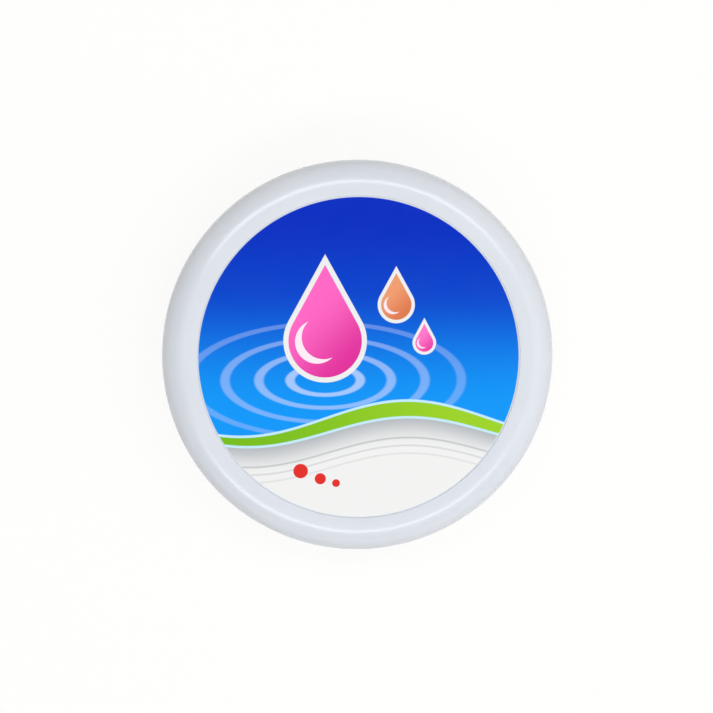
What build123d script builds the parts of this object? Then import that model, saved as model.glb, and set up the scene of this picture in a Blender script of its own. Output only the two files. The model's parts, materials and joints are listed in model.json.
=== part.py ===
from build123d import *
import os
from math import cos, pi, radians, sin, tan

# A low round jar of counting wax with a screw lid, kept on a desk to moisten the fingertips.
# Five separate pieces share one upright axis: the jar, the wax cake cast in it, the lid, the foam liner
# trapped loosely under the lid's top, and the round label in the lid's recess. The lid turns on a
# right-hand thread of several starts and rises by the thread's lead in each turn. The origin is the
# middle of the plane that the foot stands on, and +Z is up. Lengths are in mm and angles in degrees.

# Lid shell
LID_DIAMETER = 70.0
LID_HEIGHT = 12.0
LID_WALL = 1.8
LID_TOP_THICKNESS = 1.7
LID_EDGE_ROUND = 0.4
SHOULDER_RADIUS = 4.3

# Label and the recess that holds it
LABEL_MARGIN = 2.2
LABEL_THICKNESS = 0.15
LABEL_CLEARANCE = 0.2
RECESS_DEPTH = 0.25
RECESS_LIP_ROUND = 0.1

# Foam liner and the lugs that keep it in the lid
LINER_THICKNESS = 1.0
LINER_TOP_GAP = 0.05
LINER_CHAMFER = 0.3
LUG_COUNT = 6
LUG_ARC = 14.0
LUG_THICKNESS = 0.6
LUG_GRIP = 0.4
LUG_GAP = 0.1
LUG_SLOPE = 0.3

# Thread shared by the lid and the jar
THREAD_STARTS = 4
THREAD_PITCH = 3.0
THREAD_HEIGHT = 1.4
THREAD_FLANK_ANGLE = 30.0
THREAD_DROP = 0.2
THREAD_LEAD_IN = 1.0
THREAD_CLEARANCE = 0.4
FLANK_GAP = 0.15
FLANK_PLAY = 0.54
CREST_BEVEL = 0.2
CREST_FLAT = 0.5
RIB_EMBED = 0.4
RIB_END_SCALE = 0.3
RIB_FADE_ARC = 16.0
RIB_STEP_ARC = 8.0

# Jar shell
JAR_WALL = 1.6
JAR_FLOOR = 1.6
BORE_TAPER = 0.4
BORE_FLOOR_ROUND = 1.5
RIM_OUTER_ROUND = 0.5
RIM_INNER_ROUND = 0.4
SKIRT_GAP = 0.4
FLANGE_INSET = 0.9
FLANGE_THICKNESS = 1.3
FLANGE_ROUND = 0.35
FLANGE_FILLET = 0.9
NECK_CHAMFER = 0.4
BODY_TAPER = 0.6
BASE_ROUND = 1.8
FOOT_WIDTH = 2.0
FOOT_RECESS = 0.9
FOOT_CHAMFER = 0.25

# Mark left at the middle of the base by the moulding gate
GATE_DIMPLE_DIAMETER = 7.0
GATE_DIMPLE_DEPTH = 0.4
GATE_NUB_DIAMETER = 1.8
GATE_NUB_HEIGHT = 0.25

# Wax cake
WAX_DEPTH = 13.6
WAX_GAP = 0.05
MENISCUS_RISE = 0.7
MENISCUS_WIDTH = 4.0
HEADSPACE = 4.8

# Radii, from the lid inwards
lid_radius = LID_DIAMETER / 2
flat_radius = lid_radius - SHOULDER_RADIUS
label_radius = flat_radius - LABEL_MARGIN
recess_radius = label_radius + LABEL_CLEARANCE
lid_bore_radius = lid_radius - LID_WALL
neck_radius = lid_bore_radius - THREAD_CLEARANCE - THREAD_HEIGHT
lug_radius = neck_radius + THREAD_CLEARANCE
liner_radius = lug_radius + LUG_GRIP
lid_corner_round = lid_bore_radius - liner_radius
bore_radius = neck_radius - JAR_WALL
bore_floor_radius = bore_radius - BORE_TAPER
flange_radius = lid_radius - FLANGE_INSET
base_radius = neck_radius - BODY_TAPER
foot_inner_radius = base_radius - BASE_ROUND - FOOT_WIDTH

# Heights, from the foot upwards
floor_height = FOOT_RECESS + JAR_FLOOR
wax_height = floor_height + WAX_DEPTH
rim_height = wax_height + HEADSPACE
lug_top = rim_height - LUG_GAP
lug_bottom = lug_top - LUG_THICKNESS
lid_underside = rim_height + LINER_THICKNESS + LINER_TOP_GAP
lid_top = lid_underside + LID_TOP_THICKNESS
lid_bottom = lid_top - LID_HEIGHT
recess_floor = lid_top - RECESS_DEPTH
flange_top = lid_bottom - SKIRT_GAP
flange_bottom = flange_top - FLANGE_THICKNESS

# Thread section, the same for the lid's ribs and the jar's, and the heights of a rib's middle line
thread_lead = THREAD_STARTS * THREAD_PITCH
thread_overlap = THREAD_HEIGHT - THREAD_CLEARANCE
flank_slope = tan(radians(THREAD_FLANK_ANGLE))
crest_width = (THREAD_PITCH - FLANK_PLAY) / 2 - FLANK_GAP - thread_overlap * flank_slope
root_width = crest_width + 2 * THREAD_HEIGHT * flank_slope
rib_spacing = crest_width + thread_overlap * flank_slope + FLANK_GAP
jar_rib_end = lug_bottom - LUG_SLOPE - THREAD_DROP - root_width / 2
lid_rib_start = lid_bottom + THREAD_LEAD_IN + root_width / 2
jar_rib_start = lid_rib_start + rib_spacing
thread_arc = 360 * (jar_rib_end - jar_rib_start) / thread_lead


def corner(profile, radius, height):
    """The vertex of a half-section profile nearest to a radius and a height."""
    return profile.vertices().sort_by_distance((radius, height))[0]


def rib_scale(angle):
    """Size of a rib's section at an angle along it: small at both ends, full in between."""
    from_end = min(angle, thread_arc - angle)
    faded = sin(pi / 2 * min(1.0, from_end / RIB_FADE_ARC))
    return RIB_END_SCALE + (1 - RIB_END_SCALE) * faded


def thread_rib(root_radius, outward, start_height):
    """One helical rib that climbs round +Z from start_height, standing out (+1) or in (-1) from its wall."""
    steps = max(2, round(thread_arc / RIB_STEP_ARC))
    embed_radius = root_radius - outward * RIB_EMBED
    with BuildPart() as rib:
        for step in range(steps + 1):
            angle = thread_arc * step / steps
            across = (cos(radians(angle)), sin(radians(angle)), 0)
            along = (sin(radians(angle)), -cos(radians(angle)), 0)
            height = start_height + thread_lead * angle / 360
            scale = rib_scale(angle)
            tip = THREAD_HEIGHT * scale
            bevel = CREST_BEVEL * scale
            crest_half = crest_width / 2 * scale
            tip_half = crest_half * CREST_FLAT
            bend_half = crest_half + bevel * flank_slope
            embed_half = crest_half + (tip + RIB_EMBED) * flank_slope
            bend_radius = root_radius + outward * (tip - bevel)
            tip_radius = root_radius + outward * tip
            with BuildSketch(Plane((0, 0, height), x_dir=across, z_dir=along)):
                with BuildLine():
                    Polyline(
                        (embed_radius, embed_half),
                        (embed_radius, -embed_half),
                        (bend_radius, -bend_half),
                        (tip_radius, -tip_half),
                        (tip_radius, tip_half),
                        (bend_radius, bend_half),
                        close=True,
                    )
                make_face()
        loft()
    return rib.part


# Jar: tub, neck, stop flange, foot ring, gate mark and outer thread
jar_rib = thread_rib(neck_radius, 1, jar_rib_start)

with BuildPart() as jar:
    with BuildSketch(Plane.XZ) as jar_profile:
        with BuildLine():
            Polyline(
                (0, FOOT_RECESS),
                (foot_inner_radius, FOOT_RECESS),
                (foot_inner_radius, 0),
                (base_radius, 0),
                (neck_radius, flange_bottom),
                (flange_radius, flange_bottom),
                (flange_radius, flange_top),
                (neck_radius, flange_top),
                (neck_radius, rim_height),
                (bore_radius, rim_height),
                (bore_floor_radius, floor_height),
                (0, floor_height),
                close=True,
            )
        make_face()
        chamfer(corner(jar_profile, foot_inner_radius, FOOT_RECESS), FOOT_CHAMFER)
        chamfer(corner(jar_profile, foot_inner_radius, 0), FOOT_CHAMFER)
        fillet(corner(jar_profile, base_radius, 0), BASE_ROUND)
        fillet(corner(jar_profile, neck_radius, flange_bottom), FLANGE_FILLET)
        fillet(corner(jar_profile, flange_radius, flange_bottom), FLANGE_ROUND)
        fillet(corner(jar_profile, flange_radius, flange_top), FLANGE_ROUND)
        chamfer(corner(jar_profile, neck_radius, flange_top), NECK_CHAMFER)
        fillet(corner(jar_profile, neck_radius, rim_height), RIM_OUTER_ROUND)
        fillet(corner(jar_profile, bore_radius, rim_height), RIM_INNER_ROUND)
        fillet(corner(jar_profile, bore_floor_radius, floor_height), BORE_FLOOR_ROUND)
    revolve(axis=Axis.Z)
    with PolarLocations(0, THREAD_STARTS):
        add(jar_rib)
    with BuildSketch(Plane.XY.offset(FOOT_RECESS)):
        Circle(GATE_DIMPLE_DIAMETER / 2)
        Circle(GATE_NUB_DIAMETER / 2, mode=Mode.SUBTRACT)
    extrude(amount=GATE_DIMPLE_DEPTH, mode=Mode.SUBTRACT)
    with BuildSketch(Plane.XY.offset(FOOT_RECESS)):
        Circle(GATE_NUB_DIAMETER / 2)
    extrude(amount=-GATE_NUB_HEIGHT)

# Wax: a cake cast in the jar, its face dished where it climbs the wall
wax_floor_radius = bore_floor_radius - WAX_GAP
wax_edge_height = wax_height + MENISCUS_RISE
bore_lean = BORE_TAPER / (rim_height - floor_height)
wax_edge_radius = wax_floor_radius + bore_lean * (wax_edge_height - floor_height)

with BuildPart() as counting_wax:
    with BuildSketch(Plane.XZ) as wax_profile:
        with BuildLine():
            Line((0, wax_height), (0, floor_height))
            Line((0, floor_height), (wax_floor_radius, floor_height))
            Line((wax_floor_radius, floor_height), (wax_edge_radius, wax_edge_height))
            wax_face = Line((0, wax_height), (wax_edge_radius - MENISCUS_WIDTH, wax_height))
            TangentArc(wax_face @ 1, (wax_edge_radius, wax_edge_height), tangent=wax_face % 1)
        make_face()
        fillet(corner(wax_profile, wax_floor_radius, floor_height), BORE_FLOOR_ROUND)
    revolve(axis=Axis.Z)

# Lid: flat top with a label recess, rounded shoulder, plain skirt, liner lugs and inner thread
lid_rib = thread_rib(lid_bore_radius, -1, lid_rib_start)

with BuildPart() as liner_lug:
    with BuildSketch(Plane.XZ):
        with BuildLine():
            Polyline(
                (lug_radius, lug_top),
                (lid_bore_radius + RIB_EMBED, lug_top),
                (lid_bore_radius + RIB_EMBED, lug_bottom - LUG_SLOPE),
                (lug_radius, lug_bottom),
                close=True,
            )
        make_face()
    revolve(axis=Axis.Z, revolution_arc=LUG_ARC)

with BuildPart() as lid:
    with BuildSketch(Plane.XZ) as lid_profile:
        with BuildLine():
            Polyline(
                (lid_radius, lid_top),
                (recess_radius, lid_top),
                (recess_radius, recess_floor),
                (0, recess_floor),
                (0, lid_underside),
                (lid_bore_radius, lid_underside),
                (lid_bore_radius, lid_bottom),
                (lid_radius, lid_bottom),
                close=True,
            )
        make_face()
        fillet(corner(lid_profile, lid_radius, lid_top), SHOULDER_RADIUS)
        fillet(corner(lid_profile, recess_radius, lid_top), RECESS_LIP_ROUND)
        fillet(corner(lid_profile, lid_bore_radius, lid_underside), lid_corner_round)
        fillet(corner(lid_profile, lid_bore_radius, lid_bottom), LID_EDGE_ROUND)
        fillet(corner(lid_profile, lid_radius, lid_bottom), LID_EDGE_ROUND)
    revolve(axis=Axis.Z)
    with PolarLocations(0, THREAD_STARTS):
        add(lid_rib)
    with PolarLocations(0, LUG_COUNT):
        add(liner_lug.part)

# Liner: a foam disc that seals on the jar's rim
with BuildPart() as lid_liner:
    with BuildSketch(Plane.XY.offset(rim_height)):
        Circle(liner_radius)
    extrude(amount=LINER_THICKNESS)
    chamfer(lid_liner.faces().sort_by(Axis.Z)[-1].edges(), LINER_CHAMFER)

# Label: a thin printed disc stuck in the lid's recess
with BuildPart() as lid_label:
    with BuildSketch(Plane.XY.offset(recess_floor)):
        Circle(label_radius)
    extrude(amount=LABEL_THICKNESS)

jar.part.label = "jar"
counting_wax.part.label = "counting_wax"
lid.part.label = "lid"
lid_liner.part.label = "lid_liner"
lid_label.part.label = "lid_label"

os.makedirs("parts", exist_ok=True)
export_step(jar.part, "parts/jar.step")
export_step(counting_wax.part, "parts/counting_wax.step")
export_step(lid.part, "parts/lid.step")
export_step(lid_liner.part, "parts/lid_liner.step")
export_step(lid_label.part, "parts/lid_label.step")

print(f"overall {LID_DIAMETER:.2f} across, {lid_top:.2f} tall")
print(f"thread lead {thread_lead:.2f}, arc {thread_arc:.1f}, crest {crest_width:.3f}")
print(f"wax {counting_wax.part.volume / 1000:.2f} cm3, top at {wax_height:.2f}, edge at {wax_edge_height:.2f}")
print(f"rim at {rim_height:.2f}, bore radius {bore_radius:.2f}, lid bottom at {lid_bottom:.2f}")
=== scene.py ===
import json
from math import atan2, cos, degrees, hypot, pi, radians, sin, sqrt, tan

import bpy
from mathutils import Matrix, Vector, noise


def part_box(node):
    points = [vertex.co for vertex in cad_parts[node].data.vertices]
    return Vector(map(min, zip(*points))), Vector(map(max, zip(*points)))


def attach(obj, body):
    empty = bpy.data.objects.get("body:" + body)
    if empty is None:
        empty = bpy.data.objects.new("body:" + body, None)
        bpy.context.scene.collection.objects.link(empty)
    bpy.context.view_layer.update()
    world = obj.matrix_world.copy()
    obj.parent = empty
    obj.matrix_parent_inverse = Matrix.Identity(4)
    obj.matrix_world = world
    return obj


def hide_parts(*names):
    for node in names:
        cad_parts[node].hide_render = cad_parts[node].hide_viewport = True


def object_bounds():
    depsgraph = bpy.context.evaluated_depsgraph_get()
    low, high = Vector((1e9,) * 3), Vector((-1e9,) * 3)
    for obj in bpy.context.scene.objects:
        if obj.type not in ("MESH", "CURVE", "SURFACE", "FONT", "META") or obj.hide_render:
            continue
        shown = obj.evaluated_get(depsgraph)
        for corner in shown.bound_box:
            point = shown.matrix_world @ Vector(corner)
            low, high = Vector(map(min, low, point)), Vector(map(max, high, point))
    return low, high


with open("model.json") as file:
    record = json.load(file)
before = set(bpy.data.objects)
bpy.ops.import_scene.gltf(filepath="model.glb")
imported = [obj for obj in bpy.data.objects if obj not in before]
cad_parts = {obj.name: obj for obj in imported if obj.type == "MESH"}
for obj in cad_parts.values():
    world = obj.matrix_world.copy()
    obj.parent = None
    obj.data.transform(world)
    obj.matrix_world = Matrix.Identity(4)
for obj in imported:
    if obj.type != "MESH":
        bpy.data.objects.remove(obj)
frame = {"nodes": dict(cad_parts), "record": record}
cad_low, cad_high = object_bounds()

# A low round jar of counting wax with a screw lid, seen from above on a white table.
# Lengths are in metres, or in mm where a heading says so. Colours are sRGB from 0 to 255.
MM = 0.001

# Camera: above the lid, leaning a few degrees to the left and to the back, with its sensor in mm
SENSOR_WIDTH = 36.0
CAMERA_DISTANCE = 0.4
CAMERA_LEAN_LEFT = radians(2.6)
CAMERA_LEAN_BACK = radians(4.9)
CAMERA_CLIP_START = 0.01
FRAME_WIDTH = 127.76 * MM
AIM = Vector((-0.26 * MM, -0.14 * MM, 19.4 * MM))

# Sky: brighter overhead and to the right, with fades between two sines of the height over the horizon
SKY_LEVEL = 0.08
SKY_OVERHEAD = 0.71
SKY_RIGHT = 0.14
SKY_BACK = -0.02
SKY_COLOUR = (255, 255, 255)
HORIZON_COLOUR = (255, 249, 236)
HORIZON_FADE = (0.0, 0.8)
CEILING_SEEN = 0.1
CEILING_FADE = (0.7, 0.15)

# Lamps: a soft key on the right and two strips that draw the bright lines on the shoulder
KEY_PLACE = (0.55, -0.1, 0.65)
KEY_SIZE = 0.6
KEY_RADIANCE = 0.9
STRIP_RADIANCE = 5.4
STRIP_WIDTH = 0.24
BACK_STRIP = ((-0.44, 0.30, 1.02), (0.44, 0.28, 1.02))
FRONT_STRIP = ((-0.46, -0.52, 1.02), (0.36, -0.34, 1.02))

# Floor: white to the camera, with a share left for the shadow, and spots in mm
FLOOR_HALF_WIDTH = 6.0
FLOOR_COLOUR = (253, 250, 242)
FLOOR_SHADE = (251, 248, 240)
FLOOR_CLOUD_SIZE = 40.0
FLOOR_ROUGHNESS = 0.9
FLOOR_GLOW = 0.88

# Plastic of the jar and the lid, with spots and depths in mm
PLASTIC_COLOUR = (226, 230, 237)
PLASTIC_SHADE = (220, 225, 234)
PLASTIC_CLOUD_SIZE = 14.0
PLASTIC_HAZE_SIZE = 3.0
PLASTIC_ROUGHNESS = (0.17, 0.27)
PLASTIC_GRAIN_SIZE = 0.7
PLASTIC_GRAIN_DEPTH = 0.0016
PLASTIC_IOR = 1.49
PLASTIC_SCATTER = 0.3
PLASTIC_SCATTER_DEPTH = 0.9

# Light that scatters under a white surface spreads alike in red, green and blue
EVEN_SCATTER = (1.0, 1.0, 1.0)

# Lid shell
LID_WALL = 1.8 * MM
LID_EDGE_ROUND = 0.4 * MM
SHOULDER_RADIUS = 4.3 * MM
LABEL_CLEARANCE = 0.2 * MM
RECESS_LIP_ROUND = 0.1 * MM
LINER_TOP_GAP = 0.05 * MM

# Jar shell
JAR_WALL = 1.6 * MM
NECK_FILLET = 0.4 * MM
RIM_OUTER_ROUND = 0.5 * MM
RIM_INNER_ROUND = 0.4 * MM
BORE_TAPER = 0.4 * MM
BORE_FLOOR_ROUND = 1.5 * MM
SKIRT_GAP = 0.4 * MM
FLANGE_THICKNESS = 1.3 * MM
FLANGE_ROUND = 0.35 * MM
FLANGE_FILLET = 0.9 * MM
BODY_TAPER = 0.6 * MM
BASE_ROUND = 1.8 * MM
FOOT_WIDTH = 2.0 * MM
FOOT_RECESS = 0.9 * MM
FOOT_EDGE = 0.25 * MM
GATE_RADIUS = 3.5 * MM
GATE_DEPTH = 0.4 * MM
GATE_NUB_RADIUS = 0.9 * MM
GATE_NUB_HEIGHT = 0.25 * MM

# Ribs of the thread, placed by their middle lines, and the lugs that keep the liner in the lid
RIB_COUNT = 4
RIB_ARC = radians(111)
RIB_FADE_ARC = radians(16)
RIB_END_SCALE = 0.3
RIB_HEIGHT = 1.4 * MM
RIB_CLEARANCE = 0.4 * MM
RIB_CREST = 0.5 * MM
RIB_FLANK = radians(30)
RIB_EMBED = 0.4 * MM
RIB_LEAD_IN = 2.06 * MM
RIB_SPACING = 1.23 * MM
LUG_COUNT = 6
LUG_ARC = radians(14)
LUG_GAP = 0.1 * MM
LUG_THICKNESS = 0.6 * MM
LUG_SLOPE = 0.3 * MM

# Inks of the label
PAPER = (232, 240, 246)
DEEP_BLUE = (0, 46, 194)
MID_BLUE = (3, 82, 214)
PALE_BLUE = (8, 152, 250)
RIPPLE_LILAC = (176, 208, 255)
DROP_OUTLINE = (238, 240, 240)
DROP_GLINT = (255, 236, 247)
LEAF_GREEN = (120, 190, 26)
LIME_GREEN = (158, 212, 40)
ICE_CYAN = (198, 236, 250)
FIELD_WHITE = (241, 242, 241)
SILVER = (172, 177, 184)
DOT_RED = (228, 48, 44)

# Water on the label, in mm from its middle: where its blues fade, and each ripple's radius and strength
PRINT_SOFTNESS = 0.05
PAPER_EDGE = 0.06
DEEP_FADE = (26.0, 0.0)
PALE_FADE = (12.0, -10.0)
RIPPLE_CENTRE = (-6.0, -4.0)
RIPPLE_STRETCH = 2.4
RIPPLE_HALF_WIDTH = 0.34
RIPPLE_SOFTNESS = 0.12
RIPPLES = ((2.6, 0.85), (4.9, 0.6), (7.4, 0.42), (10.1, 0.28))

# Drops on the label, in mm: centre, radius, height of the tip, width of the outline, light and dark ink
DROPS = (
    ((-6.0, 3.0), 6.5, 13.5, 0.9, (255, 104, 198), (226, 48, 158)),
    ((6.6, 9.4), 2.7, 5.6, 0.6, (240, 158, 112), (224, 122, 78)),
    ((11.6, 2.6), 1.6, 3.4, 0.5, (255, 120, 204), (236, 70, 170)),
)

# The crescent of light on a drop is one disc less another, in shares of the drop's radius
GLINT_RADIUS = 0.6
GLINT_CENTRE = (-0.22, -0.02)
GLINT_CUT_CENTRE = (-0.04, 0.1)

# White field on the label, in mm: its wave, green band, echoes by depth and strength, and dots
WAVE_HEIGHT = -13.5
WAVE_SWING = 2.6
WAVE_STRETCH = 9.0
WAVE_PHASE = 0.6
BAND_WIDTH = 2.3
BAND_SWING = 0.7
BAND_STRETCH = 12.0
BAND_PHASE = 1.0
BAND_EDGE = 0.45
BAND_FADE = (-24.0, 24.0)
FIELD_FADE = (-5.0, 1.5)
ECHO_HALF_WIDTH = 0.16
ECHO_SOFTNESS = 0.08
ECHOES = ((3.4, 0.6), (4.8, 0.4), (6.2, 0.25))
DOTS = (((-10.4, -20.2), 1.3), ((-6.9, -21.6), 1.0), ((-4.1, -22.4), 0.7))

# Film over the label's print, with spots and depths in mm
FILM_HAZE_SIZE = 5.0
FILM_ROUGHNESS = (0.1, 0.16)
FILM_IOR = 1.5
FILM_SPECULAR = 0.3
FILM_SWELL_SIZE = 9.0
FILM_SWELL_DEPTH = 0.006

# Shape of the wax cake and of its face, which swells and rings break up
WAX_GAP = 0.05 * MM
WAX_MENISCUS_RISE = 0.7 * MM
WAX_MENISCUS_WIDTH = 4.0 * MM
WAX_LIP_SHARE = 0.05
WAX_SWELL = 0.1 * MM
WAX_SWELL_WIDTH = 9.0 * MM
WAX_SWELL_SHARE = 0.7
WAX_RING_WIDTH = 0.9 * MM
WAX_RING_SHARE = 0.12
WAX_RING_SWAY = 2.0
WAX_RING_TURN = 1.0

# Wax, with spots and depths in mm
WAX_COLOUR = (255, 156, 200)
WAX_CLOUD = (253, 146, 192)
WAX_CLOUD_SIZE = 6.0
WAX_CLOUD_BAND = (0.3, 0.7)
WAX_HAZE_SIZE = 2.0
WAX_ROUGHNESS = (0.36, 0.44)
WAX_IOR = 1.44
WAX_SCATTER = 0.7
WAX_SCATTER_SHARES = (1.0, 0.45, 0.5)
WAX_SCATTER_DEPTH = 2.2
WAX_SKIN_SIZE = 1.6
WAX_SKIN_SHARE = 0.35
WAX_PINHOLE_SIZE = 0.9
WAX_PINHOLE_BAND = (0.70, 0.78)
WAX_RELIEF_DEPTH = 0.02

# Shape of the foam liner
LINER_EDGE_ROUND = 0.3 * MM
LINER_DENT_DEPTH = 0.12 * MM

# Foam, with spots and depths in mm
FOAM_SKIN = (238, 238, 233)
FOAM_WALL = (214, 213, 207)
FOAM_CELL_SIZE = 0.55
FOAM_WALL_BAND = (0.0, 0.16)
FOAM_HAZE_SIZE = 1.5
FOAM_ROUGHNESS = (0.68, 0.83)
FOAM_IOR = 1.49
FOAM_SCATTER = 0.4
FOAM_SCATTER_DEPTH = 0.8
FOAM_RELIEF_DEPTH = 0.03

# Fineness of the meshes
TURNS = 256
HALF_FACET = pi / TURNS
RIB_STEPS = 48
LUG_STEPS = 6
WAX_FACE_STEPS = 90
LINER_DENT_STEPS = 12
SHARP_ANGLE = radians(35)

# Places of the colour sockets on a Mix node
MIX_SHARE = 0
MIX_FIRST = 6
MIX_SECOND = 7
MIX_RESULT = 2

# Boxes of the CAD nodes
lid_low, lid_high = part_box("lid")
label_low, label_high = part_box("lid_label")
liner_low, liner_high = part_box("lid_liner")
jar_low, jar_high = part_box("jar")
wax_low, wax_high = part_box("counting_wax")

# Radii, from the lid inwards
lid_radius = lid_high.x
label_radius = label_high.x
recess_radius = label_radius + LABEL_CLEARANCE
lid_bore_radius = lid_radius - LID_WALL
liner_radius = liner_high.x
lid_corner_round = lid_bore_radius - liner_radius
neck_radius = lid_bore_radius - RIB_CLEARANCE - RIB_HEIGHT
lug_radius = neck_radius + RIB_CLEARANCE
bore_radius = neck_radius - JAR_WALL
bore_floor_radius = bore_radius - BORE_TAPER
flange_radius = jar_high.x
base_radius = neck_radius - BODY_TAPER
foot_inner_radius = base_radius - BASE_ROUND - FOOT_WIDTH
wax_edge_radius = wax_high.x
wax_floor_radius = bore_floor_radius - WAX_GAP

# Heights, from the foot upwards
foot_height = jar_low.z
floor_height = wax_low.z
lid_bottom = lid_low.z
flange_top = lid_bottom - SKIRT_GAP
flange_bottom = flange_top - FLANGE_THICKNESS
lid_rib_start = lid_bottom + RIB_LEAD_IN
jar_rib_start = lid_rib_start + RIB_SPACING
wax_height = wax_high.z - WAX_MENISCUS_RISE
rim_height = jar_high.z
lug_top = rim_height - LUG_GAP
lid_underside = liner_high.z + LINER_TOP_GAP
recess_floor = label_low.z
lid_top = lid_high.z

# Lead of the thread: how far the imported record's coupling lifts the lid in one turn
rib_lead = 2 * pi * frame["record"]["behaviour"]["couplings"][0]["ratio"]


def linear(red, green, blue):
    """A colour given as sRGB values from 0 to 255, as the linear colour that a shader socket takes."""
    shares = [value / 255 for value in (red, green, blue)]
    curve = [share / 12.92 if share <= 0.04045 else ((share + 0.055) / 1.055) ** 2.4 for share in shares]
    return (*curve, 1.0)


class Field:
    """A number that varies over a surface. Arithmetic on fields makes the shader's Math nodes."""

    def __init__(self, tree, socket):
        self.tree = tree
        self.socket = socket

    def math(self, operation, *others):
        node = self.tree.nodes.new("ShaderNodeMath")
        node.operation = operation
        for socket, value in zip(node.inputs, (self, *others)):
            feed(self.tree, socket, value)
        return Field(self.tree, node.outputs["Value"])

    def __add__(self, other):
        return self.math("ADD", other)

    def __sub__(self, other):
        return self.math("SUBTRACT", other)

    def __mul__(self, other):
        return self.math("MULTIPLY", other)

    def __truediv__(self, other):
        return self.math("DIVIDE", other)

    def sine(self):
        return self.math("SINE")

    def size(self):
        return self.math("ABSOLUTE")

    def root(self):
        return self.math("SQRT")

    def most(self, other):
        return self.math("MAXIMUM", other)

    def beyond(self, other):
        return self.math("GREATER_THAN", other)

    def spread(self, low, high):
        """A field from 0 to 1, stretched to run from low to high."""
        return self * (high - low) + low

    def ramp(self, start, stop):
        """0 up to start, 1 from stop on, smooth between; start may be the larger."""
        node = self.tree.nodes.new("ShaderNodeMapRange")
        node.interpolation_type = "SMOOTHSTEP"
        feed(self.tree, node.inputs["Value"], self)
        node.inputs["From Min"].default_value = min(start, stop)
        node.inputs["From Max"].default_value = max(start, stop)
        node.inputs["To Min"].default_value = float(start > stop)
        node.inputs["To Max"].default_value = float(start <= stop)
        return Field(self.tree, node.outputs["Result"])

    def below(self, edge=0.0, soft=PRINT_SOFTNESS):
        """1 where the field is under the edge and 0 where it is over it."""
        return self.ramp(edge + soft, edge - soft)

    def above(self, edge=0.0, soft=PRINT_SOFTNESS):
        """1 where the field is over the edge and 0 where it is under it."""
        return self.ramp(edge - soft, edge + soft)


def feed(tree, socket, value):
    """Gives a shader socket a constant or a field."""
    if isinstance(value, Field):
        tree.links.new(value.socket, socket)
    else:
        socket.default_value = value


def mixed(tree, share, first, second):
    """The socket of a colour between two colours or colour sockets."""
    node = tree.nodes.new("ShaderNodeMix")
    node.data_type = "RGBA"
    feed(tree, node.inputs[MIX_SHARE], share)
    for place, colour in ((MIX_FIRST, first), (MIX_SECOND, second)):
        if isinstance(colour, bpy.types.NodeSocket):
            tree.links.new(colour, node.inputs[place])
        else:
            node.inputs[place].default_value = linear(*colour)
    return node.outputs[MIX_RESULT]


class Surface:
    """A procedural material: a Principled shader, and places on the object in mm that ride with it."""

    def __init__(self, name):
        self.material = bpy.data.materials.new(name)
        self.material.use_nodes = True
        self.tree = self.material.node_tree
        self.shader = self.tree.nodes["Principled BSDF"]
        coordinates = self.tree.nodes.new("ShaderNodeTexCoord")
        scaled = self.tree.nodes.new("ShaderNodeVectorMath")
        scaled.operation = "SCALE"
        scaled.inputs["Scale"].default_value = 1 / MM
        self.tree.links.new(coordinates.outputs["Object"], scaled.inputs[0])
        self.place = scaled.outputs["Vector"]

    def axes(self):
        """The x, y and z places on the object as three fields."""
        node = self.tree.nodes.new("ShaderNodeSeparateXYZ")
        self.tree.links.new(self.place, node.inputs[0])
        return [Field(self.tree, output) for output in node.outputs]

    def mottle(self, size, detail=2.0, roughness=0.5):
        """Even noise from 0 to 1 with spots of about this size."""
        node = self.tree.nodes.new("ShaderNodeTexNoise")
        self.tree.links.new(self.place, node.inputs["Vector"])
        node.inputs["Scale"].default_value = 1 / size
        node.inputs["Detail"].default_value = detail
        node.inputs["Roughness"].default_value = roughness
        return Field(self.tree, node.outputs[0])

    def cells(self, size):
        """Distance from the walls of rounded cells of about this size."""
        node = self.tree.nodes.new("ShaderNodeTexVoronoi")
        node.feature = "DISTANCE_TO_EDGE"
        self.tree.links.new(self.place, node.inputs["Vector"])
        node.inputs["Scale"].default_value = 1 / size
        return Field(self.tree, node.outputs["Distance"])

    def mix(self, share, first, second):
        return mixed(self.tree, share, first, second)

    def colour(self, socket):
        self.tree.links.new(socket, self.shader.inputs["Base Color"])

    def set(self, **values):
        """Sets the shader's sockets by name, with underscores for the blanks."""
        for name, value in values.items():
            feed(self.tree, self.shader.inputs[name.replace("_", " ")], value)

    def relief(self, height, depth):
        """Bumps of this depth in mm, from a height field between 0 and 1."""
        node = self.tree.nodes.new("ShaderNodeBump")
        node.inputs["Strength"].default_value = 1.0
        node.inputs["Distance"].default_value = depth * MM
        feed(self.tree, node.inputs["Height"], height)
        self.tree.links.new(node.outputs["Normal"], self.shader.inputs["Normal"])


def moulded_plastic(name):
    """White polypropylene, a little blue and see-through, with the faint grain of a polished mould."""
    surface = Surface(name)
    cloud = surface.mottle(PLASTIC_CLOUD_SIZE, detail=3.0)
    surface.colour(surface.mix(cloud, PLASTIC_COLOUR, PLASTIC_SHADE))
    surface.set(
        Roughness=surface.mottle(PLASTIC_HAZE_SIZE, detail=4.0).spread(*PLASTIC_ROUGHNESS),
        IOR=PLASTIC_IOR,
        Subsurface_Weight=PLASTIC_SCATTER,
        Subsurface_Radius=EVEN_SCATTER,
        Subsurface_Scale=PLASTIC_SCATTER_DEPTH * MM,
    )
    surface.relief(surface.mottle(PLASTIC_GRAIN_SIZE), PLASTIC_GRAIN_DEPTH)
    return surface.material


def disc_gap(x, y, centre, radius):
    """Distance in mm from a circle, less than 0 inside it."""
    u, v = x - centre[0], y - centre[1]
    return (u * u + v * v).root() - radius


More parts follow.
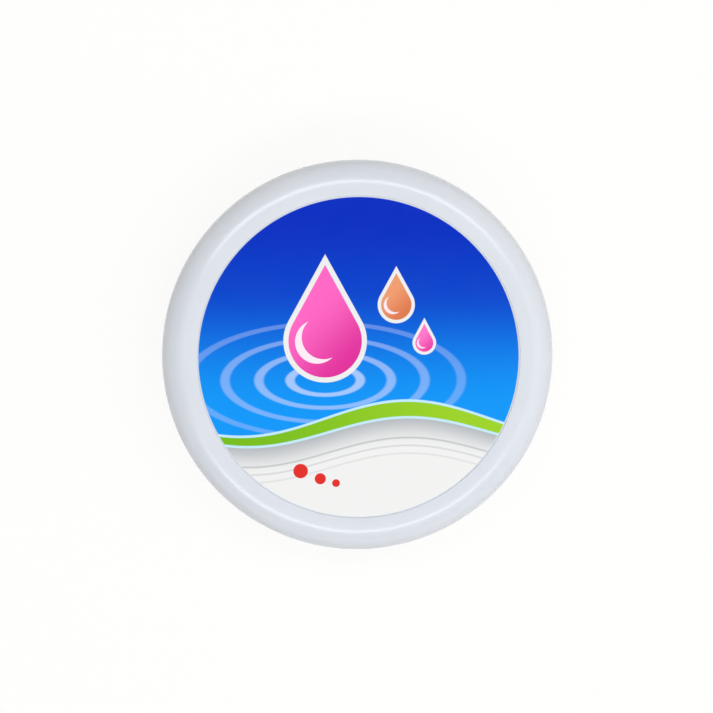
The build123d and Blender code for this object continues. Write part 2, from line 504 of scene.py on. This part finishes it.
def drop_gap(x, y, centre, radius, tip):
    """Distance in mm from a drop: a circle, with straight sides up to a tip this far above its centre."""
    lean_sine = radius / tip
    lean_cosine = sqrt(1 - lean_sine**2)
    u, v = (x - centre[0]).size(), y - centre[1]
    side = u * lean_cosine + v * lean_sine - radius
    on_side = (v * lean_cosine).beyond(u * lean_sine)
    rounded = disc_gap(x, y, centre, radius)
    return rounded + (side - rounded) * on_side


def print_water(surface, x, y):
    """Blue that pales downwards, with the rings of a ripple seen at a slant."""
    ink = surface.mix(y.ramp(*DEEP_FADE), DEEP_BLUE, MID_BLUE)
    ink = surface.mix(y.ramp(*PALE_FADE), ink, PALE_BLUE)
    across = (x - RIPPLE_CENTRE[0]) / RIPPLE_STRETCH
    ripple = disc_gap(across, y, (0.0, RIPPLE_CENTRE[1]), 0.0)
    for radius, share in RIPPLES:
        ring = ((ripple - radius).size() - RIPPLE_HALF_WIDTH).below(soft=RIPPLE_SOFTNESS)
        ink = surface.mix(ring * share, ink, RIPPLE_LILAC)
    return ink


def print_drop(surface, ink, x, y, centre, radius, tip, outline, light, dark):
    """A drop with a pale outline, darker to its lower right and with a crescent of light on its left."""
    gap = drop_gap(x, y, centre, radius, tip)
    slant = (x - centre[0] - (y - centre[1])) / (radius * sqrt(2))
    ink = surface.mix((gap - outline).below(), ink, DROP_OUTLINE)
    ink = surface.mix(gap.below(), ink, surface.mix(slant.ramp(-1.0, 1.0), light, dark))
    glint_centre = [middle + share * radius for middle, share in zip(centre, GLINT_CENTRE)]
    cut_centre = [middle + share * radius for middle, share in zip(centre, GLINT_CUT_CENTRE)]
    glint = disc_gap(x, y, glint_centre, GLINT_RADIUS * radius)
    cut = disc_gap(x, y, cut_centre, GLINT_RADIUS * radius)
    return surface.mix(glint.below() * cut.above(), ink, DROP_GLINT)


def print_wave(surface, ink, x, y):
    """A white field under a green band, with silver shade and silver echoes below the band."""
    wave = y - ((x / WAVE_STRETCH + WAVE_PHASE).sine() * WAVE_SWING + WAVE_HEIGHT)
    band = (x / BAND_STRETCH + BAND_PHASE).sine() * BAND_SWING + BAND_WIDTH
    green = surface.mix(x.ramp(*BAND_FADE), LEAF_GREEN, LIME_GREEN)
    ink = surface.mix((wave - band - BAND_EDGE).below(), ink, ICE_CYAN)
    ink = surface.mix((wave - band).below(), ink, green)
    ink = surface.mix((wave - BAND_EDGE).below(), ink, ICE_CYAN)
    field = surface.mix(wave.ramp(*FIELD_FADE), FIELD_WHITE, SILVER)
    for depth, share in ECHOES:
        echo = ((wave + depth).size() - ECHO_HALF_WIDTH).below(soft=ECHO_SOFTNESS)
        field = surface.mix(echo * share, field, SILVER)
    return surface.mix(wave.below(), ink, field)


def printed_label(name):
    """A laminated print: drops that fall on rippled water, above a white wave with a green edge."""
    surface = Surface(name)
    x, y, _ = surface.axes()
    ink = print_water(surface, x, y)
    for drop in DROPS:
        ink = print_drop(surface, ink, x, y, *drop)
    ink = print_wave(surface, ink, x, y)
    for centre, radius in DOTS:
        ink = surface.mix(disc_gap(x, y, centre, radius).below(), ink, DOT_RED)
    cut_edge = disc_gap(x, y, (0.0, 0.0), label_radius / MM - PAPER_EDGE).above()
    surface.colour(surface.mix(cut_edge, ink, PAPER))
    surface.set(
        Roughness=surface.mottle(FILM_HAZE_SIZE, detail=3.0).spread(*FILM_ROUGHNESS),
        IOR=FILM_IOR,
        Specular_IOR_Level=FILM_SPECULAR,
    )
    surface.relief(surface.mottle(FILM_SWELL_SIZE), FILM_SWELL_DEPTH)
    return surface.material


def poured_wax(name):
    """Pink glycerine wax: see-through at the skin, cloudy, with pinholes left by air."""
    surface = Surface(name)
    cloud = surface.mottle(WAX_CLOUD_SIZE, detail=4.0, roughness=0.6).ramp(*WAX_CLOUD_BAND)
    surface.colour(surface.mix(cloud, WAX_COLOUR, WAX_CLOUD))
    surface.set(
        Roughness=surface.mottle(WAX_HAZE_SIZE, detail=3.0).spread(*WAX_ROUGHNESS),
        IOR=WAX_IOR,
        Subsurface_Weight=WAX_SCATTER,
        Subsurface_Radius=WAX_SCATTER_SHARES,
        Subsurface_Scale=WAX_SCATTER_DEPTH * MM,
    )
    pinholes = surface.mottle(WAX_PINHOLE_SIZE, detail=1.0).ramp(*WAX_PINHOLE_BAND)
    skin = surface.mottle(WAX_SKIN_SIZE, detail=3.0) * WAX_SKIN_SHARE
    surface.relief(skin - pinholes, WAX_RELIEF_DEPTH)
    return surface.material


def cell_foam(name):
    """White closed-cell foam: matt, with a skin that shows its cells."""
    surface = Surface(name)
    cells = surface.cells(FOAM_CELL_SIZE).ramp(*FOAM_WALL_BAND)
    surface.colour(surface.mix(cells, FOAM_WALL, FOAM_SKIN))
    surface.set(
        Roughness=surface.mottle(FOAM_HAZE_SIZE).spread(*FOAM_ROUGHNESS),
        IOR=FOAM_IOR,
        Subsurface_Weight=FOAM_SCATTER,
        Subsurface_Radius=EVEN_SCATTER,
        Subsurface_Scale=FOAM_SCATTER_DEPTH * MM,
    )
    surface.relief(cells, FOAM_RELIEF_DEPTH)
    return surface.material


def arc(centre, radius, start, stop, steps):
    """Points (radius, height) on an arc between two angles in degrees."""
    angles = [radians(start + (stop - start) * k / steps) for k in range(steps + 1)]
    return [(centre[0] + radius * cos(a), centre[1] + radius * sin(a)) for a in angles]


def around(radius, angle, height):
    """The point at a radius, an angle round the upright axis and a height."""
    return Vector((radius * cos(angle), radius * sin(angle), height))


def turned(profile, shift=None):
    """The vertices and faces of a closed turned shell, from a half-section that runs from axis to axis.

    The half-section is a list of (radius, height) points with the solid on its left. shift gives a
    change of height at a point, to break the evenness of a surface.
    """
    rings = []
    vertices = []
    for radius, height in profile:
        count = TURNS if radius > 0 else 1
        rings.append(range(len(vertices), len(vertices) + count))
        for k in range(count):
            point = around(radius, 2 * pi * k / TURNS, height)
            if shift:
                point.z += shift(point)
            vertices.append(point)
    faces = []
    for low, high in zip(rings, rings[1:]):
        for k in range(TURNS):
            corners = [
                low[k % len(low)],
                low[(k + 1) % len(low)],
                high[(k + 1) % len(high)],
                high[k % len(high)],
            ]
            faces.append(list(dict.fromkeys(corners)))
    return vertices, faces


def swept(sections):
    """The vertices and faces of a closed shell through sections with as many points, and its end caps."""
    count = len(sections[0])
    vertices = [point for section in sections for point in section]
    faces = [list(range(count - 1, -1, -1)), list(range(len(vertices) - count, len(vertices)))]
    for start in range(0, len(vertices) - count, count):
        for k in range(count):
            after = (k + 1) % count
            faces.append([start + k, start + after, start + count + after, start + count + k])
    return vertices, faces


def new_object(name, shells):
    """An object whose mesh is one or more closed shells that stay clear of each other."""
    vertices = []
    faces = []
    for shell_vertices, shell_faces in shells:
        faces += [[corner + len(vertices) for corner in face] for face in shell_faces]
        vertices += shell_vertices
    mesh = bpy.data.meshes.new(name)
    mesh.from_pydata(vertices, [], faces)
    mesh.validate()
    made = bpy.data.objects.new(name, mesh)
    bpy.context.scene.collection.objects.link(made)
    return made


def fuse(body, additions):
    """Joins shells that stand out of a body's walls to it, so that its mesh is one closed skin."""
    tool = new_object("additions", additions)
    join = body.modifiers.new("join", "BOOLEAN")
    join.operation = "UNION"
    join.solver = "EXACT"
    join.object = tool
    evaluated = body.evaluated_get(bpy.context.evaluated_depsgraph_get())
    mesh = bpy.data.meshes.new_from_object(evaluated)
    body.modifiers.clear()
    body.data = mesh
    bpy.data.objects.remove(tool)


def make_piece(name, shell, material, additions=()):
    """One object with a closed skin, smooth but for its corners."""
    piece = new_object(name, [shell])
    if additions:
        fuse(piece, additions)
    piece.data.shade_smooth()
    piece.data.set_sharp_from_angle(angle=SHARP_ANGLE)
    piece.data.materials.clear()
    piece.data.materials.append(material)
    return piece


def lid_shell():
    """The lid's turned shell: skirt, rounded shoulder, flat top and label recess."""
    edge = LID_EDGE_ROUND
    corner_centre = (lid_bore_radius - lid_corner_round, lid_underside - lid_corner_round)
    shoulder_centre = (lid_radius - SHOULDER_RADIUS, lid_top - SHOULDER_RADIUS)
    lip_centre = (recess_radius + RECESS_LIP_ROUND, lid_top - RECESS_LIP_ROUND)
    profile = [(0.0, lid_underside)]
    profile += arc(corner_centre, lid_corner_round, 90, 0, steps=8)
    profile += arc((lid_bore_radius + edge, lid_bottom + edge), edge, 180, 270, steps=6)
    profile += arc((lid_radius - edge, lid_bottom + edge), edge, 270, 360, steps=6)
    profile += arc(shoulder_centre, SHOULDER_RADIUS, 0, 90, steps=45)
    profile += arc(lip_centre, RECESS_LIP_ROUND, 90, 180, steps=5)
    profile += [(recess_radius, recess_floor), (0.0, recess_floor)]
    return turned(profile)


def starts(count):
    """Evenly spaced angles, none of them on an edge between two facets of a turned wall."""
    return [2 * pi * k / count + HALF_FACET for k in range(count)]


def thread_rib(root_radius, outward, start_height, start_angle):
    """One rib of a thread: it climbs its wall, standing out (+1) or in (-1), and fades at both ends."""
    crest_turn = 90 - degrees(RIB_FLANK)
    sections = []
    for step in range(RIB_STEPS + 1):
        angle = RIB_ARC * step / RIB_STEPS
        from_end = min(angle, RIB_ARC - angle)
        scale = RIB_END_SCALE + (1 - RIB_END_SCALE) * sin(pi / 2 * min(1.0, from_end / RIB_FADE_ARC))
        tip = RIB_HEIGHT * scale
        crest_round = RIB_CREST / 2 * scale / tan(pi / 4 - RIB_FLANK / 2)
        root_half = RIB_CREST / 2 * scale + (tip + RIB_EMBED) * tan(RIB_FLANK)
        outline = [(-RIB_EMBED, root_half), (-RIB_EMBED, -root_half)]
        outline += arc((tip - crest_round, 0.0), crest_round, -crest_turn, crest_turn, steps=8)
        height = start_height + rib_lead * angle / (2 * pi)
        section = []
        for depth, rise in outline:
            section.append(around(root_radius + outward * depth, start_angle + angle, height + rise))
        sections.append(section[::-outward])
    return swept(sections)


def liner_lug(start_angle):
    """One lug that keeps the liner in: a short ledge round the bore with a sloping lower face."""
    outline = (
        (lug_radius, lug_top),
        (lid_bore_radius + RIB_EMBED, lug_top),
        (lid_bore_radius + RIB_EMBED, lug_top - LUG_THICKNESS - LUG_SLOPE),
        (lug_radius, lug_top - LUG_THICKNESS),
    )
    angles = [start_angle + LUG_ARC * step / LUG_STEPS for step in range(LUG_STEPS + 1)]
    return swept([[around(radius, angle, height) for radius, height in outline] for angle in angles])


def lid_cap():
    """The lid: a finely turned shell with its thread ribs and liner lugs."""
    additions = [thread_rib(lid_bore_radius, -1, lid_rib_start, angle) for angle in starts(RIB_COUNT)]
    additions += [liner_lug(angle) for angle in starts(LUG_COUNT)]
    cap = make_piece("lid_cap", lid_shell(), moulded_plastic("lid_plastic"), additions)
    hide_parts("lid")
    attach(cap, "lid")


def jar_shell():
    """The jar's turned shell: foot ring, leaning body, stop flange, neck, rounded rim and bore."""
    recess = foot_height + FOOT_RECESS
    lean = atan2(BODY_TAPER, flange_bottom - foot_height)
    lean_degrees = degrees(lean)
    lean_share = (1 - sin(lean)) / cos(lean)
    foot_centre = (foot_inner_radius + FOOT_EDGE, foot_height + FOOT_EDGE)
    base_centre = (base_radius - BASE_ROUND * lean_share, foot_height + BASE_ROUND)
    fillet_centre = (neck_radius + FLANGE_FILLET * lean_share, flange_bottom - FLANGE_FILLET)
    flange_middle = flange_radius - FLANGE_ROUND
    neck_centre = (neck_radius + NECK_FILLET, flange_top + NECK_FILLET)
    rim_outer_centre = (neck_radius - RIM_OUTER_ROUND, rim_height - RIM_OUTER_ROUND)
    rim_inner_centre = (bore_radius + RIM_INNER_ROUND, rim_height - RIM_INNER_ROUND)
    floor_centre = (bore_floor_radius - BORE_FLOOR_ROUND, floor_height + BORE_FLOOR_ROUND)
    profile = [
        (0.0, recess - GATE_NUB_HEIGHT),
        (GATE_NUB_RADIUS, recess - GATE_NUB_HEIGHT),
        (GATE_NUB_RADIUS, recess + GATE_DEPTH),
        (GATE_RADIUS, recess + GATE_DEPTH),
        (GATE_RADIUS, recess),
        (foot_inner_radius - FOOT_EDGE, recess),
        (foot_inner_radius, recess - FOOT_EDGE),
    ]
    profile += arc(foot_centre, FOOT_EDGE, 180, 270, steps=5)
    profile += arc(base_centre, BASE_ROUND, -90, -lean_degrees, steps=14)
    profile += arc(fillet_centre, FLANGE_FILLET, 180 - lean_degrees, 90, steps=10)
    profile += arc((flange_middle, flange_bottom + FLANGE_ROUND), FLANGE_ROUND, -90, 0, steps=7)
    profile += arc((flange_middle, flange_top - FLANGE_ROUND), FLANGE_ROUND, 0, 90, steps=7)
    profile += arc(neck_centre, NECK_FILLET, 270, 180, steps=6)
    profile += arc(rim_outer_centre, RIM_OUTER_ROUND, 0, 90, steps=8)
    profile += arc(rim_inner_centre, RIM_INNER_ROUND, 90, 180, steps=8)
    profile += arc(floor_centre, BORE_FLOOR_ROUND, 0, -90, steps=10)
    profile += [(0.0, floor_height)]
    return turned(profile)


def jar_tub():
    """The jar: a finely turned shell with the ribs of its thread."""
    ribs = [thread_rib(neck_radius, 1, jar_rib_start, angle) for angle in starts(RIB_COUNT)]
    tub = make_piece("jar_tub", jar_shell(), moulded_plastic("jar_plastic"), ribs)
    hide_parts("jar")
    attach(tub, "jar")


def wax_cake():
    """The wax in the jar: it climbs the wall at its edge and its face still shows how it set."""
    round_centre = (wax_floor_radius - BORE_FLOOR_ROUND, floor_height + BORE_FLOOR_ROUND)
    profile = [(0.0, floor_height)]
    profile += arc(round_centre, BORE_FLOOR_ROUND, -90, 0, steps=6)
    profile += [(wax_edge_radius, wax_height + WAX_MENISCUS_RISE * (1 - WAX_LIP_SHARE))]
    for k in range(WAX_FACE_STEPS + 1):
        radius = wax_edge_radius * (1 - k / WAX_FACE_STEPS)
        climb = max(0.0, 1 - (wax_edge_radius - radius) / WAX_MENISCUS_WIDTH)
        profile.append((radius, wax_height + WAX_MENISCUS_RISE * climb**2))

    def set_face(point):
        """Low swells and faint rings on the face, which fade out at the wall. Points below it stay."""
        if point.z < wax_height - WAX_SWELL:
            return 0.0
        radius = hypot(point.x, point.y)
        fade = min(1.0, (wax_edge_radius - radius) / WAX_MENISCUS_WIDTH)
        sway = WAX_RING_SWAY * sin(atan2(point.y, point.x) + WAX_RING_TURN)
        rings = WAX_RING_SHARE * sin(radius / WAX_RING_WIDTH + sway)
        swell = WAX_SWELL_SHARE * noise.noise(Vector((point.x, point.y, 0.0)) / WAX_SWELL_WIDTH)
        return -WAX_SWELL * fade * (1 + swell + rings) / 2

    cake = make_piece("wax_cake", turned(profile, set_face), poured_wax("poured_wax"))
    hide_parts("counting_wax")
    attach(cake, "jar")


def liner_disc():
    """The foam liner, with the ring that the jar's rim has pressed into its lower face."""
    bottom, top = liner_low.z, liner_high.z
    rim_half = JAR_WALL / 2
    lower_round = LINER_EDGE_ROUND / 2
    upper_centre = (liner_radius - LINER_EDGE_ROUND, top - LINER_EDGE_ROUND)
    profile = [(0.0, bottom)]
    for k in range(LINER_DENT_STEPS + 1):
        along = -1 + 2 * k / LINER_DENT_STEPS
        dent = LINER_DENT_DEPTH * sqrt(1 - along**2)
        profile.append((bore_radius + rim_half * (1 + along), bottom + dent))
    profile += arc((liner_radius - lower_round, bottom + lower_round), lower_round, -90, 0, steps=4)
    profile += arc(upper_centre, LINER_EDGE_ROUND, 0, 90, steps=5)
    profile += [(0.0, top)]
    disc = make_piece("liner_disc", turned(profile), cell_foam("cell_foam"))
    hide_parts("lid_liner")
    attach(disc, "lid_liner")


def finish_node(name, material):
    """Gives a CAD node its material."""
    mesh = frame["nodes"][name].data
    mesh.materials.clear()
    mesh.materials.append(material)


def area_light(name, place, rotation, width, length, radiance):
    """A flat soft light of this size and brightness."""
    data = bpy.data.lights.new(name, "AREA")
    data.shape = "RECTANGLE"
    data.size = length
    data.size_y = width
    data.energy = pi * width * length * radiance
    lamp = bpy.data.objects.new(name, data)
    lamp.location = place
    lamp.rotation_euler = rotation
    bpy.context.scene.collection.objects.link(lamp)


def key_light():
    """A square soft light, turned towards the middle of the lid's top."""
    place = Vector(KEY_PLACE)
    rotation = (Vector((0.0, 0.0, cad_high.z)) - place).to_track_quat("-Z", "Y").to_euler()
    area_light("key", place, rotation, KEY_SIZE, KEY_SIZE, KEY_RADIANCE)


def strip_light(name, ends):
    """A long narrow light between two points, face down."""
    start, stop = Vector(ends[0]), Vector(ends[1])
    run = stop - start
    rotation = (0.0, 0.0, atan2(run.y, run.x))
    area_light(name, (start + stop) / 2, rotation, STRIP_WIDTH, run.length, STRIP_RADIANCE)


def seen_rays(tree):
    """1 for the rays that show the background: from the camera, or by way of gloss or glass."""
    paths = tree.nodes.new("ShaderNodeLightPath")
    kinds = ("Camera", "Glossy", "Transmission")
    camera, glossy, transmission = (Field(tree, paths.outputs[f"Is {kind} Ray"]) for kind in kinds)
    return camera.most(glossy).most(transmission)


def studio_sky():
    """A soft sky. Where it is seen it is plain white, with a dim ceiling for the gloss to show."""
    world = bpy.data.worlds.new("studio")
    bpy.context.scene.world = world
    world.use_nodes = True
    tree = world.node_tree
    tree.nodes.clear()
    coordinates = tree.nodes.new("ShaderNodeTexCoord")
    split = tree.nodes.new("ShaderNodeSeparateXYZ")
    tree.links.new(coordinates.outputs["Generated"], split.inputs[0])
    right, back, up = (Field(tree, output) for output in split.outputs)
    overhead = up.most(0.0)
    level = right * SKY_RIGHT + back * SKY_BACK + overhead * overhead * SKY_OVERHEAD + SKY_LEVEL
    light = tree.nodes.new("ShaderNodeBackground")
    tint = mixed(tree, up.ramp(*HORIZON_FADE), HORIZON_COLOUR, SKY_COLOUR)
    tree.links.new(tint, light.inputs["Color"])
    feed(tree, light.inputs["Strength"], level.most(0.0))
    white = tree.nodes.new("ShaderNodeBackground")
    white.inputs["Color"].default_value = linear(*SKY_COLOUR)
    feed(tree, white.inputs["Strength"], up.ramp(*CEILING_FADE).spread(CEILING_SEEN, 1.0))
    mix = tree.nodes.new("ShaderNodeMixShader")
    feed(tree, mix.inputs[0], seen_rays(tree))
    tree.links.new(light.outputs[0], mix.inputs[1])
    tree.links.new(white.outputs[0], mix.inputs[2])
    output = tree.nodes.new("ShaderNodeOutputWorld")
    tree.links.new(mix.outputs[0], output.inputs["Surface"])


def studio_floor():
    """A matt white table top that keeps the shadow of the jar."""
    half = FLOOR_HALF_WIDTH
    corners = [(-half, -half, 0), (half, -half, 0), (half, half, 0), (-half, half, 0)]
    mesh = bpy.data.meshes.new("floor")
    mesh.from_pydata(corners, [], [(0, 1, 2, 3)])
    floor = bpy.data.objects.new("floor", mesh)
    bpy.context.scene.collection.objects.link(floor)
    surface = Surface("table_white")
    cloud = surface.mottle(FLOOR_CLOUD_SIZE, detail=3.0)
    surface.colour(surface.mix(cloud, FLOOR_COLOUR, FLOOR_SHADE))
    surface.set(Roughness=FLOOR_ROUGHNESS)
    glow = surface.tree.nodes.new("ShaderNodeEmission")
    glow.inputs["Color"].default_value = linear(*SKY_COLOUR)
    mix = surface.tree.nodes.new("ShaderNodeMixShader")
    feed(surface.tree, mix.inputs[0], seen_rays(surface.tree) * FLOOR_GLOW)
    surface.tree.links.new(surface.shader.outputs[0], mix.inputs[1])
    surface.tree.links.new(glow.outputs[0], mix.inputs[2])
    surface.tree.links.new(mix.outputs[0], surface.tree.nodes["Material Output"].inputs["Surface"])
    mesh.materials.append(surface.material)


def camera_above():
    """The camera, placed so that the lid fills the same part of the frame as in the photograph."""
    data = bpy.data.cameras.new("camera")
    camera = bpy.data.objects.new("camera", data)
    bpy.context.scene.collection.objects.link(camera)
    back = Vector((-tan(CAMERA_LEAN_LEFT), tan(CAMERA_LEAN_BACK), 1.0)).normalized()
    right = Vector((0.0, 1.0, 0.0)).cross(back).normalized()
    up = back.cross(right)
    camera.rotation_mode = "QUATERNION"
    camera.rotation_quaternion = Matrix((right, up, back)).transposed().to_quaternion()
    camera.location = AIM + back * CAMERA_DISTANCE
    data.sensor_width = SENSOR_WIDTH
    data.lens = SENSOR_WIDTH * CAMERA_DISTANCE / FRAME_WIDTH
    data.clip_start = CAMERA_CLIP_START
    bpy.context.scene.camera = camera


# The pieces
finish_node("lid_label", printed_label("label_print"))
jar_tub()
lid_cap()
wax_cake()
liner_disc()

# The studio
studio_sky()
studio_floor()
key_light()
strip_light("back_strip", BACK_STRIP)
strip_light("front_strip", FRONT_STRIP)
camera_above()
bpy.context.scene.view_settings.view_transform = "Standard"
